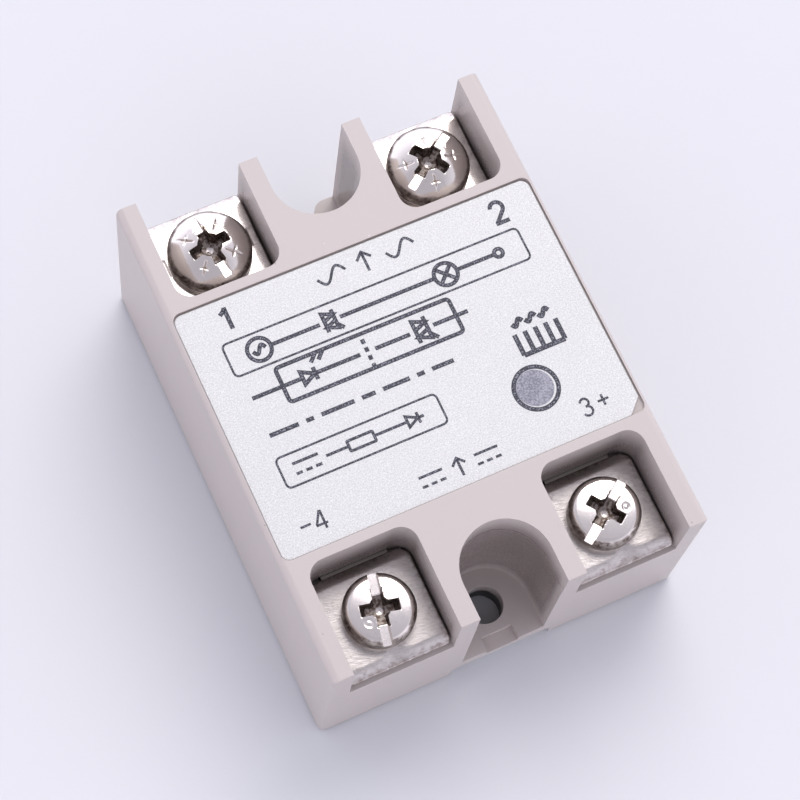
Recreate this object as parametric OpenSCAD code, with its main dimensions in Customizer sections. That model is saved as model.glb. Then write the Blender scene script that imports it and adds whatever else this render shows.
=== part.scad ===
// Panel-mounting solid state relay. A moulded case stands on an aluminium heat spreader,
// with two power terminals at one end, two control terminals at the other, and a potted
// power stage under a small control board inside.
// X runs across the relay, Y along it with the output end at +Y, and Z up from the
// underside of the heat spreader. The origin is the centre of that underside.

/* [Case] */
// Width of the case at its foot
body_w = 45; // [44.5:0.1:47]
// Length of the case
body_l = 58; // [57.6:0.1:60]
// Height from the underside of the base plate to the top of the case
body_h = 24; // [24:0.1:26]
// How much narrower each side wall is at the top than at the foot
draft = 0.3; // [0.1:0.05:0.4]
// Radius along the two long top edges
edge_r = 0.9; // [0.6:0.1:1]
// Thickness of the side and end walls
wall = 2.2; // [2:0.1:2.4]

/* [Mounting] */
// Distance between the mounting hole and the open slot
mount_pitch = 48; // [47.4:0.1:48.4]
// Diameter of the mounting hole and width of the slot
mount_d = 4.5; // [4.2:0.1:4.8]
// Width of the notch above each mounting point
notch_w = 10.4; // [10:0.1:10.6]
// Height of the notch floor
notch_floor = 4.5; // [4:0.1:5]
// Thickness of the base plate
base_t = 2.4; // [2:0.1:2.6]

/* [Terminals] */
// Distance between the two screws at one end
screw_pitch = 27.2; // [27:0.1:27.4]
// Distance from the middle of the case to a row of screws
screw_y = 22.7; // [22.5:0.1:22.8]
// Width of each terminal well
well_w = 12.4; // [12.2:0.1:12.5]
// Height of the well floor
well_floor = 15.6; // [15:0.1:16]
// Thickness of the terminal bars
bar_t = 0.8; // [0.7:0.05:1]
// Side of the square clamp plates
clamp_w = 11.9; // [11.6:0.1:12]
// Thickness of the clamp plates
clamp_t = 1; // [0.8:0.1:1]
// Thread diameter of the output screws
output_thread_d = 5; // [4.8:0.1:5.2]
// Head diameter of the output screws
output_head_d = 9.6; // [9:0.1:10]
// Thread diameter of the input screws
input_thread_d = 4; // [3.8:0.1:4.2]
// Head diameter of the input screws
input_head_d = 8.1; // [7.6:0.1:8.6]

/* [Label] */
// Width of the label recess
recess_w = 43.3; // [43:0.1:43.3]
// Length of the label recess
recess_l = 30.3; // [30:0.1:30.6]
// Depth of the label recess
recess_d = 0.5; // [0.4:0.05:0.6]
// Thickness of the label
label_t = 0.35; // [0.2:0.05:0.4]

/* [Inside] */
// Thickness of the circuit board
board_t = 1.6; // [1.2:0.1:1.6]
// Height of the potting compound above the base plate
potting_h = 4.6; // [4.2:0.1:4.8]
// Body diameter of the indicator
led_d = 5; // [4.8:0.1:5]

/* [Hidden] */
$fn = 64;

eps = 0.01;
over = 2;

// The case stands this far clear of the mounting surface, so the base plate seats first
foot_gap = 0.3;
corner_r = 0.8;
half_w = body_w / 2;
half_l = body_l / 2;
top_half_w = half_w - draft;

// Cavity inside the case
roof_t = 2.6;
roof_z = body_h - roof_t;
cavity_half_w = half_w - wall - 0.1;
cavity_half_l = 14.6;
end_wall = 2;
well_floor_t = 2.2;

// Base plate, and its seat: a step in the lower edge of the case, cut away at the notches
skirt = 1.5;
seat_gap = 0.1;
plate_w = body_w - 2 * skirt;
plate_l = body_l - 2 * skirt;
plate_corner_r = 1.5;
relief_half_w = 6.3;
relief_r = 0.8;

// Notches. Below a mould line, the notch at the input end is a little narrower
notch_r = notch_w / 2;
notch_step = 0.06;
notch_step_z = 20;
notch_y = half_l - 4.1;
notch_wall = 2;
mount_y = mount_pitch / 2;
mount_r = mount_d / 2;
mouth_r = 1.6;
pit_w = 4;
pit_l = 1.7;
pit_d = 1;

// Wells and terminals
screw_x = screw_pitch / 2;
well_l = 12.7;
well_r = 2;
well_y = half_l - well_l;
bar_w = 11;
bar_l = 11.6;
bar_neck_w = 8;
bar_end = half_l - 0.7;
bend_r = 1.2;
bar_leg_y = 12.7;
bar_z = well_floor;
clamp_z = bar_z + bar_t;
head_z = clamp_z + clamp_t;
clamp_fold = 1.35;
clamp_drop = 0.55;
clamp_inner_r = 1.5;
clamp_outer_r = 0.5;
collar_h = 3;
collar_t = 1.1;
boss_r = 5.5;
boss_z = 7.2;
pocket_r = 4.2;
pocket_z = 8.4;
bar_slot_gap = 0.2;

// Screw heads and threads
thread_gap = 0.05;
clamp_hole_gap = 0.1;
output_shank = 8;
input_shank = 7;
output_head_h = 3.2;
input_head_h = 2.5;
dome_r = 8;
input_round = 0.9;
slot_w = 1.2;
slot_d = 1.1;
cross_w = 1.4;
output_cross_reach = 2.7;
input_cross_reach = 2.2;
cross_d = 1.8;
// The way each slot points when its screw is tight
screw_turn_1 = -81;
screw_turn_2 = 35;
screw_turn_3 = 36;
screw_turn_4 = 78;

// Label
label_gap = 0.3;
label_shift = 0.1;
label_r = 1;
label_cut = 1.7;
led_x = 11.6;
led_y = -8.1;
led_r = led_d / 2;
led_hole_gap = 0.2;

// Power stage on the base plate
ceramic_t = 0.8;
ceramic_w = 16;
ceramic_y = [-11, 8.5];
tab_z = base_t + ceramic_t;
tab_t = 1.3;
tab_w = 10.2;
tab_y = [-9, 6.6];
tab_hole_y = -6.2;
tab_hole_r = 1.8;
triac_z = tab_z + tab_t;
triac_h = 3.2;
triac_y = [-2.4, 6.6];
lead_w = 0.8;
lead_t = 0.5;
lead_z = triac_z + 0.9;
lead_pitch = 2.54;
lead_end_y = 13;
gate_bend_y = 8.8;
link_z = lead_z + lead_t;
link_t = 0.8;
link_y = [10.4, 13.6];
link_outer_x = screw_x + 3;
link_1_x = -1.7;
link_2_x = -0.9;
jumper_x = 6;
jumper_y = 11;
jumper_r = 0.4;

// Control board
board_z = 10;
board_top = board_z + board_t;
board_half_w = 19.5;
board_y = [-14.2, 11.9];
post_r = 1.5;
post_x = 17.8;
post_y = [-11, 9];
tail_w = 2;
tail_end_z = board_z - 1.2;
tail_start_z = 13;
pin_end_z = board_z - 1;
pin_r = 0.3;
heavy_pin_r = 0.4;
hole_gap = 0.1;
stand_off = 0.3;

// Two-legged parts that lie along X on the board: [middle x, y, leg spacing, leg radius]
input_resistor_at = [-6, -11.5, 10, pin_r];
protection_diode_at = [5, -11.5, 8, heavy_pin_r];
led_resistor_at = [2, -8.6, 9, pin_r];
gate_resistor_at = [-8.4, 2.8, 10, pin_r];
bias_resistor_at = [6.4, 2.8, 10, pin_r];
snubber_resistor_at = [-8, 8.4, 14, heavy_pin_r];
snubber_capacitor_at = [9.9, 7.6, 10, heavy_pin_r];
led_at = [led_x, led_y, lead_pitch, pin_r];
two_legged = [
    input_resistor_at, protection_diode_at, led_resistor_at, gate_resistor_at,
    bias_resistor_at, snubber_resistor_at, snubber_capacitor_at, led_at
];

// Optocoupler with three legs on each side
opto_at = [0, -3];
opto_size = [7.2, 6.4, 3.4];
opto_row = 3.81;
opto_leg_t = 0.3;
opto_leg_w = 0.5;
opto_legs_at = [for (i = [-1:1], side = [-1, 1])
    [opto_at[0] + i * lead_pitch, opto_at[1] + side * opto_row]];

// Transistors with three legs in a row
transistor_x = [-9.2, -14.8];
transistor_y = -6.4;
transistor_pitch = 1.27;
transistor_r = 2.3;
transistor_flat = 1.3;
transistor_h = 4.6;
transistor_lift = 2;
transistor_legs_at = [for (x = transistor_x, i = [-1:1]) [x + i * transistor_pitch, transistor_y]];

// ---------- shared shapes ----------

// Rectangle with round corners, centred
module rounded_rect(w, l, r) {
    square([w - 2 * r, l], center = true);
    square([w, l - 2 * r], center = true);
    for (x = [-1, 1], y = [-1, 1])
        translate([x * (w / 2 - r), y * (l / 2 - r)]) circle(r);
}

// Block between two heights with round upright edges
module rounded_block(w, l, r, z0, z1) {
    translate([0, 0, z0]) linear_extrude(z1 - z0) rounded_rect(w, l, r);
}

// Block given by its lowest and highest corners
module span(low, high) {
    translate(low) cube(high - low);
}

// The four terminal places: 1 and 2 at the output end, 3 and 4 at the input end.
// Each is drawn as if it stood at the right of the output end.
module at_terminal(n) {
    right = n == 2 || n == 3;
    output = n < 3;
    mirror([right ? 0 : 1, 0, 0]) mirror([0, output ? 0 : 1, 0]) children();
}

// Round pin that stands upright
module pin(x, y, r, z0, z1) {
    translate([x, y, z0]) cylinder(r = r, h = z1 - z0);
}

// ---------- case ----------

// Cross section of the case, looking along Y
module case_section() {
    flank_z = body_h - edge_r;
    shoulder_x = top_half_w - edge_r;
    polygon([
        [-half_w, foot_gap], [half_w, foot_gap], [top_half_w, flank_z],
        [shoulder_x, body_h], [-shoulder_x, body_h], [-top_half_w, flank_z]
    ]);
    for (x = [-shoulder_x, shoulder_x]) translate([x, flank_z]) circle(edge_r);
}

module case_blank() {
    intersection() {
        translate([0, half_l, 0]) rotate([90, 0, 0]) linear_extrude(body_l) case_section();
        rounded_block(body_w, body_l, corner_r, 0, body_h + eps);
    }
}

// Hollow under the roof, between the notches and under the wells
module case_cavity() {
    low = -over;
    difference() {
        union() {
            span([-cavity_half_w, -cavity_half_l, low], [cavity_half_w, cavity_half_l, roof_z]);
            middle = notch_r + 0.4;
            span([-middle, -well_y - wall, notch_floor], [middle, well_y + wall, roof_z]);
        }
        for (y = [-notch_y, notch_y])
            translate([0, y, low - over]) cylinder(r = notch_r + notch_wall, h = body_h + 2 * over);
    }
    inner_x = notch_r + notch_wall + 0.2;
    for (n = [1:4]) at_terminal(n)
        span([inner_x, cavity_half_l - eps, low],
             [cavity_half_w, half_l - end_wall, well_floor - well_floor_t]);
}

// Plan of a U-shaped notch, given its half width, drawn at the output end
module notch_plan(r) {
    translate([0, notch_y]) circle(r);
    translate([-r, notch_y]) square([2 * r, half_l - notch_y + over]);
}

// Both notches, the one at the input end with its mould line
module notches() {
    translate([0, 0, notch_floor]) linear_extrude(body_h) notch_plan(notch_r);
    mirror([0, 1, 0]) {
        translate([0, 0, notch_floor]) linear_extrude(body_h) notch_plan(notch_r - notch_step);
        translate([0, 0, notch_step_z]) linear_extrude(body_h) notch_plan(notch_r);
    }
}

// Plan of the open slot, with a rounded mouth
module slot_plan() {
    translate([0, mount_y]) circle(mount_r);
    translate([-mount_r, mount_y]) square([mount_d, half_l - mount_y + over]);
    for (side = [0, 1]) mirror([side, 0]) difference() {
        translate([mount_r - eps, half_l - mouth_r]) square([mouth_r + eps, mouth_r + over]);
        translate([mount_r + mouth_r, half_l - mouth_r]) circle(mouth_r);
        translate([mount_r + mouth_r, half_l - mouth_r]) square(mouth_r + 2 * over);
    }
}

// One terminal well with the slot that its bar passes through
module well_cut() {
    depth = well_l + well_r + over;
    translate([screw_x, well_y + depth / 2, 0])
        rounded_block(well_w, depth, well_r, well_floor, body_h + over);
    slot_half = bar_neck_w / 2 + bar_slot_gap;
    span([screw_x - slot_half, cavity_half_l - eps, well_floor],
         [screw_x + slot_half, well_y + well_r, well_floor + bar_t + bar_slot_gap]);
}

module housing() {
    color([0.86, 0.81, 0.80]) difference() {
        union() {
            difference() {
                case_blank();
                case_cavity();
            }
            for (n = [1:4]) at_terminal(n)
                translate([screw_x, screw_y, boss_z]) cylinder(r = boss_r, h = well_floor - boss_z - eps);
            for (x = [-post_x, post_x], y = post_y) pin(x, y, post_r, board_top, roof_z + eps);
        }
        rounded_block(plate_w + 2 * seat_gap, plate_l + 2 * seat_gap, plate_corner_r, -over, base_t);
        for (side = [-1, 1]) translate([0, side * half_l, 0]) rotate([90, 0, 0])
            linear_extrude(2 * (skirt + seat_gap), center = true)
                translate([0, (base_t - over) / 2]) rounded_rect(2 * relief_half_w, base_t + over, relief_r);
        notches();
        for (n = [1:4]) at_terminal(n) {
            well_cut();
            translate([screw_x, screw_y, pocket_z]) cylinder(r = pocket_r, h = body_h);
        }
        pin(0, -mount_y, mount_r, -over, notch_floor + over);
        translate([0, 0, -over]) linear_extrude(notch_floor + 2 * over) slot_plan();
        span([-pit_w / 2, -half_l - over, notch_floor - pit_d],
             [pit_w / 2, -half_l + pit_l, notch_floor + eps]);
        translate([label_shift, 0, 0])
            rounded_block(recess_w, recess_l, label_r, body_h - recess_d, body_h + over);
        pin(led_x, led_y, led_r + led_hole_gap, roof_z - over, body_h + over);
    }
}

module base_plate() {
    color([0.78, 0.79, 0.80]) difference() {
        rounded_block(plate_w, plate_l, plate_corner_r, 0, base_t);
        pin(0, -mount_y, mount_r, -over, base_t + over);
        translate([0, 0, -over]) linear_extrude(base_t + 2 * over) slot_plan();
    }
}

module label() {
    w = recess_w - label_gap;
    l = recess_l - label_gap;
    x0 = label_shift - recess_w / 2 + 0.05;
    y0 = -recess_l / 2 + 0.05;
    color([0.90, 0.90, 0.91]) translate([0, 0, body_h - recess_d]) linear_extrude(label_t) difference() {
        translate([x0 + w / 2, y0 + l / 2]) rounded_rect(w, l, label_r);
        translate([x0 + w, y0]) rotate(45) square(label_cut * sqrt(2), center = true);
    }
}

// ---------- terminals ----------

// Flat bar in the well, a neck through the wall and a leg bent down inside the case
module bar_blank(leg_w, leg_end) {
    translate([screw_x, 0, 0]) {
        span([-bar_w / 2, bar_end - bar_l, bar_z], [bar_w / 2, bar_end, clamp_z]);
        bend_y = bar_leg_y + bend_r;
        span([-bar_neck_w / 2, bend_y, bar_z], [bar_neck_w / 2, bar_end - bar_l + 1, clamp_z]);
        translate([-bar_neck_w / 2, bend_y, clamp_z - bend_r]) rotate([0, 90, 0]) rotate([0, 0, 180])
            rotate_extrude(angle = 90) translate([bend_r - bar_t, 0]) square([bar_t, bar_neck_w]);
        span([-bar_neck_w / 2, bar_leg_y, tail_start_z],
             [bar_neck_w / 2, bar_leg_y + bar_t, clamp_z - bend_r]);
        span([-leg_w / 2, bar_leg_y, leg_end], [leg_w / 2, bar_leg_y + bar_t, tail_start_z]);
    }
}

// Terminal bar with its tapped collar
module terminal(n, leg_w, leg_end, thread_d) {
    hole_r = thread_d / 2;
    color([0.80, 0.79, 0.77]) at_terminal(n) difference() {
        union() {
            bar_blank(leg_w, leg_end);
            translate([screw_x, screw_y, bar_z - collar_h])
                cylinder(r = hole_r + collar_t, h = collar_h + eps);
        }
        pin(screw_x, screw_y, hole_r, bar_z - collar_h - over, clamp_z + over);
    }
}

// Plan of a clamp plate: its corners follow the well's round inner corners
module clamp_plan() {
    rounded_rect(clamp_w, clamp_w, clamp_inner_r);
    translate([0, clamp_w / 4]) rounded_rect(clamp_w, clamp_w / 2, clamp_outer_r);
}

// Square clamp plate whose outer and inner edges are folded down
module clamp(n, thread_d) {
    half = clamp_w / 2;
    flat = half - clamp_fold;
    edge_t = clamp_t - clamp_drop;
    color([0.82, 0.81, 0.80]) at_terminal(n) translate([screw_x, screw_y, clamp_z]) difference() {
        intersection() {
            rotate([90, 0, 90]) linear_extrude(clamp_w, center = true) polygon([
                [-half, 0], [half, 0], [half, edge_t], [flat, clamp_t], [-flat, clamp_t], [-half, edge_t]
            ]);
            linear_extrude(clamp_t) clamp_plan();
        }
        translate([0, 0, -over])
            cylinder(r = thread_d / 2 - thread_gap + clamp_hole_gap, h = clamp_t + 2 * over);
    }
}

// Slot right across the head, and a cross recess at its middle
module drive_cut(head_r, head_h, reach) {
    span([-head_r - over, -slot_w / 2, head_h - slot_d], [head_r + over, slot_w / 2, head_h + over]);
    for (turn = [0, 90]) rotate(turn)
        span([-reach, -cross_w / 2, head_h - cross_d], [reach, cross_w / 2, head_h + over]);
}

// Places a screw drawn at the origin, with its head on the clamp plate
module seat_screw(n, turn) {
    x = (n == 2 || n == 3) ? screw_x : -screw_x;
    y = n < 3 ? screw_y : -screw_y;
    color([0.83, 0.82, 0.81]) translate([x, y, head_z]) rotate(turn) children();
}

// Domed head
module output_screw(n, turn) {
    head_r = output_head_d / 2;
    seat_screw(n, turn) difference() {
        union() {
            rotate_extrude() intersection() {
                square([head_r, output_head_h]);
                translate([0, output_head_h - dome_r]) circle(dome_r);
            }
            translate([0, 0, -output_shank])
                cylinder(r = output_thread_d / 2 - thread_gap, h = output_shank + eps);
        }
        drive_cut(head_r, output_head_h, output_cross_reach);
    }
}

// Flat-topped head with a round shoulder
module input_screw(n, turn) {
    head_r = input_head_d / 2;
    flat_r = head_r - input_round;
    side_h = input_head_h - input_round;
    seat_screw(n, turn) difference() {
        union() {
            rotate_extrude() {
                square([flat_r, input_head_h]);
                square([head_r, side_h]);
                translate([flat_r, side_h]) circle(input_round);
            }
            translate([0, 0, -input_shank])
                cylinder(r = input_thread_d / 2 - thread_gap, h = input_shank + eps);
        }
        drive_cut(head_r, input_head_h, input_cross_reach);
    }
}

// ---------- power stage ----------

module ceramic_insulator() {
    color("white") span([-ceramic_w / 2, ceramic_y[0], base_t], [ceramic_w / 2, ceramic_y[1], tab_z]);
}

module triac_tab() {
    color([0.75, 0.74, 0.72]) difference() {
        span([-tab_w / 2, tab_y[0], tab_z], [tab_w / 2, tab_y[1], triac_z]);
        pin(0, tab_hole_y, tab_hole_r, tab_z - over, triac_z + over);
    }
}

module triac_body() {
    color([0.12, 0.12, 0.13])
        span([-tab_w / 2, triac_y[0], triac_z], [tab_w / 2, triac_y[1], triac_z + triac_h]);
}

// Two power leads, and a gate lead that turns up through the board
module triac_leads() {
    color([0.78, 0.77, 0.75]) {
        for (x = [-lead_pitch, 0])
            span([x - lead_w / 2, triac_y[1], lead_z], [x + lead_w / 2, lead_end_y, link_z]);
        span([lead_pitch - lead_w / 2, triac_y[1], lead_z], [lead_pitch + lead_w / 2, gate_bend_y, link_z]);
        span([lead_pitch - lead_w / 2, gate_bend_y - lead_t, lead_z],
             [lead_pitch + lead_w / 2, gate_bend_y, board_top + 0.8]);
    }
}

// Strap from a power lead to the foot of an output terminal's leg
module output_link_1() {
    color([0.80, 0.52, 0.35])
        span([-link_outer_x, link_y[0], link_z], [link_1_x, link_y[1], link_z + link_t]);
}

module output_link_2() {
    color([0.80, 0.52, 0.35])
        span([link_2_x, link_y[0], link_z], [link_outer_x, link_y[1], link_z + link_t]);
}

// Two stiff wires from the straps up to the board
module snubber_jumpers() {
    color([0.78, 0.77, 0.75]) for (x = [-jumper_x, jumper_x])
        pin(x, jumper_y, jumper_r, link_z + link_t, board_top + 0.6);
}

module potting_compound() {
    color([0.16, 0.16, 0.17]) difference() {
        translate([0, 0, base_t]) linear_extrude(potting_h) difference() {
            square([2 * cavity_half_w, 2 * cavity_half_l], center = true);
            for (y = [-notch_y, notch_y]) translate([0, y]) circle(notch_r + notch_wall);
        }
        ceramic_insulator();
        triac_tab();
        pin(0, tab_hole_y, tab_hole_r, tab_z - eps, triac_z + eps);
        triac_body();
        triac_leads();
        output_link_1();
        output_link_2();
        snubber_jumpers();
        for (n = [1, 2]) terminal(n, bar_neck_w - 2, link_z + link_t, output_thread_d);
    }
}

// ---------- control board ----------

module circuit_board() {
    color([0.20, 0.42, 0.25]) difference() {
        span([-board_half_w, board_y[0], board_z], [board_half_w, board_y[1], board_top]);
        for (p = two_legged, side = [-1, 1])
            pin(p[0] + side * p[2] / 2, p[1], p[3] + hole_gap, board_z - over, board_top + over);
        for (p = opto_legs_at) pin(p[0], p[1], pin_r + 2 * hole_gap, board_z - over, board_top + over);
        for (p = transistor_legs_at) pin(p[0], p[1], pin_r + hole_gap, board_z - over, board_top + over);
        for (x = [-jumper_x, jumper_x])
            pin(x, jumper_y, jumper_r + hole_gap, board_z - over, board_top + over);
        pin(lead_pitch, gate_bend_y - lead_t / 2, lead_w / 2 + 2 * hole_gap,
            board_z - over, board_top + over);
        for (x = [-screw_x, screw_x]) {
            half = tail_w / 2 + hole_gap;
            span([x - half, -bar_leg_y - bar_t - hole_gap, board_z - over],
                 [x + half, -bar_leg_y + hole_gap, board_top + over]);
        }
    }
}

module optocoupler_body() {
    z = board_top + stand_off + opto_size[2] / 2;
    color([0.93, 0.93, 0.90]) translate([opto_at[0], opto_at[1], z]) cube(opto_size, center = true);
}

module optocoupler_legs() {
    z = board_top + stand_off + opto_size[2] / 2;
    reach = opto_row - opto_size[1] / 2;
    color([0.78, 0.77, 0.75]) for (p = opto_legs_at) translate([p[0], p[1], 0]) {
        inward = p[1] > opto_at[1] ? -1 : 1;
        span([-opto_leg_w / 2, -opto_leg_t / 2, pin_end_z], [opto_leg_w / 2, opto_leg_t / 2, z]);
        span([-opto_leg_w / 2, min(0, inward * reach), z - opto_leg_t],
             [opto_leg_w / 2, max(0, inward * reach), z]);
    }
}

// Domed lamp that reaches up into the hole under the label
module indicator_led() {
    flange_z = board_top + 2.4;
    dome_z = body_h - recess_d - 0.4 - led_r;
    color([0.75, 0.15, 0.12]) translate([led_x, led_y, 0]) {
        translate([0, 0, flange_z]) cylinder(r = led_r + 0.4, h = 1);
        translate([0, 0, flange_z]) cylinder(r = led_r, h = dome_z - flange_z);
        translate([0, 0, dome_z]) sphere(led_r);
    }
}

module led_leads() {
    color([0.78, 0.77, 0.75]) for (side = [-1, 1])
        pin(led_x + side * lead_pitch / 2, led_y, pin_r, pin_end_z, board_top + 2.4);
}

// Round body on a bent wire that enters the board at both ends
module axial_part(at, body_l, body_r, waist_r) {
    z = board_top + stand_off + body_r;
    half = at[2] / 2;
    r = at[3];
    translate([at[0], at[1], 0]) {
        for (side = [-1, 1]) {
            pin(side * half, 0, r, pin_end_z, z);
            translate([side * half, 0, z]) sphere(r);
        }
        translate([-half, 0, z]) rotate([0, 90, 0]) cylinder(r = r, h = at[2]);
        translate([-body_l / 2, 0, z]) rotate([0, 90, 0]) cylinder(r = waist_r, h = body_l);
        for (end = [-1, 1]) translate([end * (body_l / 2 - body_r * 0.7), 0, z]) rotate([0, 90, 0])
            cylinder(r = body_r, h = body_r * 1.4, center = true);
    }
}

module input_resistor() {
    color([0.45, 0.62, 0.72]) axial_part(input_resistor_at, 6.4, 1.2, 1.0);
}

module led_resistor() {
    color([0.45, 0.62, 0.72]) axial_part(led_resistor_at, 6, 1.1, 0.9);
}

module gate_resistor() {
    color([0.45, 0.62, 0.72]) axial_part(gate_resistor_at, 6.4, 1.2, 1.0);
}

module bias_resistor() {
    color([0.45, 0.62, 0.72]) axial_part(bias_resistor_at, 6.4, 1.2, 1.0);
}

module protection_diode() {
    color([0.10, 0.10, 0.11]) axial_part(protection_diode_at, 5, 1.35, 1.35);
}

module snubber_resistor() {
    color([0.62, 0.60, 0.55]) axial_part(snubber_resistor_at, 10, 1.8, 1.6);
}

// Half-round body with a flat front, on three legs
module limiter_transistor(i) {
    z = board_top + transistor_lift;
    color([0.10, 0.10, 0.11]) {
        translate([transistor_x[i], transistor_y, z]) linear_extrude(transistor_h) difference() {
            circle(transistor_r);
            translate([-transistor_r - over, -transistor_r - over])
                square([2 * (transistor_r + over), transistor_r + over - transistor_flat]);
        }
        for (k = [-1:1])
            pin(transistor_x[i] + k * transistor_pitch, transistor_y, pin_r, pin_end_z, z + eps);
    }
}

module snubber_capacitor() {
    size = [11, 5, 9];
    color([0.85, 0.70, 0.20]) translate([snubber_capacitor_at[0], snubber_capacitor_at[1], 0]) {
        translate([0, 0, board_top + stand_off]) linear_extrude(size[2]) rounded_rect(size[0], size[1], 0.5);
        for (side = [-1, 1])
            pin(side * snubber_capacitor_at[2] / 2, 0, heavy_pin_r, pin_end_z, board_top + stand_off + eps);
    }
}

// ---------- nodes ----------

housing();
base_plate();
label();
terminal(1, bar_neck_w - 2, link_z + link_t, output_thread_d);  // output_terminal_1
terminal(2, bar_neck_w - 2, link_z + link_t, output_thread_d);  // output_terminal_2
terminal(3, tail_w, tail_end_z, input_thread_d);  // input_terminal_3
terminal(4, tail_w, tail_end_z, input_thread_d);  // input_terminal_4
clamp(1, output_thread_d);  // output_clamp_1
clamp(2, output_thread_d);  // output_clamp_2
clamp(3, input_thread_d);  // input_clamp_3
clamp(4, input_thread_d);  // input_clamp_4
output_screw(1, screw_turn_1);  // output_screw_1
output_screw(2, screw_turn_2);  // output_screw_2
input_screw(3, screw_turn_3);  // input_screw_3
input_screw(4, screw_turn_4);  // input_screw_4
ceramic_insulator();
triac_tab();
triac_body();
triac_leads();
output_link_1();
output_link_2();
snubber_jumpers();
potting_compound();
circuit_board();
optocoupler_body();
optocoupler_legs();
indicator_led();
led_leads();
input_resistor();
led_resistor();
gate_resistor();
bias_resistor();
protection_diode();
limiter_transistor(0);  // limiter_transistor_1
limiter_transistor(1);  // limiter_transistor_2
snubber_resistor();
snubber_capacitor();
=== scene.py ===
"""Finished surfaces of a panel-mounting solid state relay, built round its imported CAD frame.

The file is laid out as a Blender add-on and is run as a script. Lengths are metres, in the frame's own
axes: X across the relay, Y along it towards the output terminals, Z up from the heat sink face.
"""

import math

import bmesh
import bpy
import numpy as np
from bpy.props import FloatProperty, FloatVectorProperty, PointerProperty
from mathutils import Matrix, Vector


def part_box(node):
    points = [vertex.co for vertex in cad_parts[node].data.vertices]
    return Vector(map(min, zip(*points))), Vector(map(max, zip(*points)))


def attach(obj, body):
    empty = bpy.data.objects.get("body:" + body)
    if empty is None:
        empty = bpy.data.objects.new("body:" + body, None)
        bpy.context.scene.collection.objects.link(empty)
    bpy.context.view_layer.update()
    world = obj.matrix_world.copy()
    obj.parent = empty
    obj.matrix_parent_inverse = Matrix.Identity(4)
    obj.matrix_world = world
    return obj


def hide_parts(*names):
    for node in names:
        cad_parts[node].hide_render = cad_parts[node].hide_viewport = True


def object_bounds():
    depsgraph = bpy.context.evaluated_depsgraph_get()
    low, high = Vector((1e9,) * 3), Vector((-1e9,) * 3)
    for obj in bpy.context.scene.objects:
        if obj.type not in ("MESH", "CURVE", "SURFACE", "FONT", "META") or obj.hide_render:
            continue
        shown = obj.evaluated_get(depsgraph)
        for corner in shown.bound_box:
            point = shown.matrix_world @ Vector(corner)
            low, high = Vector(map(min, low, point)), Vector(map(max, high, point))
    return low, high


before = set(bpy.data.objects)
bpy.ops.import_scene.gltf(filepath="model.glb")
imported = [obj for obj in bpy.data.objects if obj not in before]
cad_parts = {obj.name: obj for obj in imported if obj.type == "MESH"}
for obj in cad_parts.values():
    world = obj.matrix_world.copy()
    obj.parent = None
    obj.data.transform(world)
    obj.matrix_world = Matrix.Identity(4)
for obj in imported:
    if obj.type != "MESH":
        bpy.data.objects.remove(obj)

bl_info = {
    "name": "Solid state relay",
    "version": (1, 0, 0),
    "blender": (4, 5, 0),
    "location": "3D View > Sidebar > Relay",
    "description": "Builds the finished case, label, terminals and inner parts of a solid state relay",
    "category": "Object",
}

MM = 0.001
CAD_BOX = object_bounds()
TERMINALS = {1: "output", 2: "output", 3: "input", 4: "input"}
CASE_BODY = "relay_case"
WELL_HALF, WELL_START = 6.2, 16.3  # half width of a terminal well and where it starts along Y, millimetres
NOTCH_HALF, NOTCH_Y = 5.2, 24.9    # half width of a notch and the centre of its round end, millimetres
TIN = (0.70, 0.69, 0.66)


# ---------- property helpers ----------

def length(name, description, default_mm):
    """A length property, its default given in millimetres."""
    return FloatProperty(name=name, description=description, default=default_mm * MM, min=0.0,
                         subtype="DISTANCE", unit="LENGTH", precision=5)


def angle(name, description, default_deg):
    """An angle property, its default given in degrees."""
    return FloatProperty(name=name, description=description, default=math.radians(default_deg),
                         subtype="ANGLE", unit="ROTATION")


def colour(name, description, default):
    """A colour property in linear light."""
    return FloatVectorProperty(name=name, description=description, default=default, size=3,
                               min=0.0, max=1.0, subtype="COLOR")


def amount(name, description, default):
    """A plain number property."""
    return FloatProperty(name=name, description=description, default=default, min=0.0)


# ---------- shader expressions ----------

def plug(tree, socket, value):
    """Gives a node's input a number, a colour, or a link from another socket."""
    if isinstance(value, Value):
        tree.links.new(value.socket, socket)
    elif isinstance(value, bpy.types.NodeSocket):
        tree.links.new(value, socket)
    elif hasattr(value, "__len__") and len(value) == 3 and len(socket.default_value) == 4:
        socket.default_value = (*value, 1.0)
    else:
        socket.default_value = value


class Value:
    """A number that varies over a surface. Each operator on it adds one Math node."""

    def __init__(self, tree, socket):
        self.tree = tree
        self.socket = socket

    def combine(self, operation, *values):
        """One Math node on any values."""
        node = self.tree.nodes.new("ShaderNodeMath")
        node.operation = operation
        for socket, value in zip(node.inputs, values):
            plug(self.tree, socket, value)
        return Value(self.tree, node.outputs[0])

    def math(self, operation, *others):
        """One Math node on this value and any others."""
        return self.combine(operation, self, *others)

    __add__ = __radd__ = lambda self, other: self.math("ADD", other)
    __sub__ = lambda self, other: self.math("SUBTRACT", other)
    __rsub__ = lambda self, other: self.combine("SUBTRACT", other, self)
    __mul__ = __rmul__ = lambda self, other: self.math("MULTIPLY", other)
    __truediv__ = lambda self, other: self.math("DIVIDE", other)
    __pow__ = lambda self, other: self.math("POWER", other)
    __abs__ = lambda self: self.math("ABSOLUTE")


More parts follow.
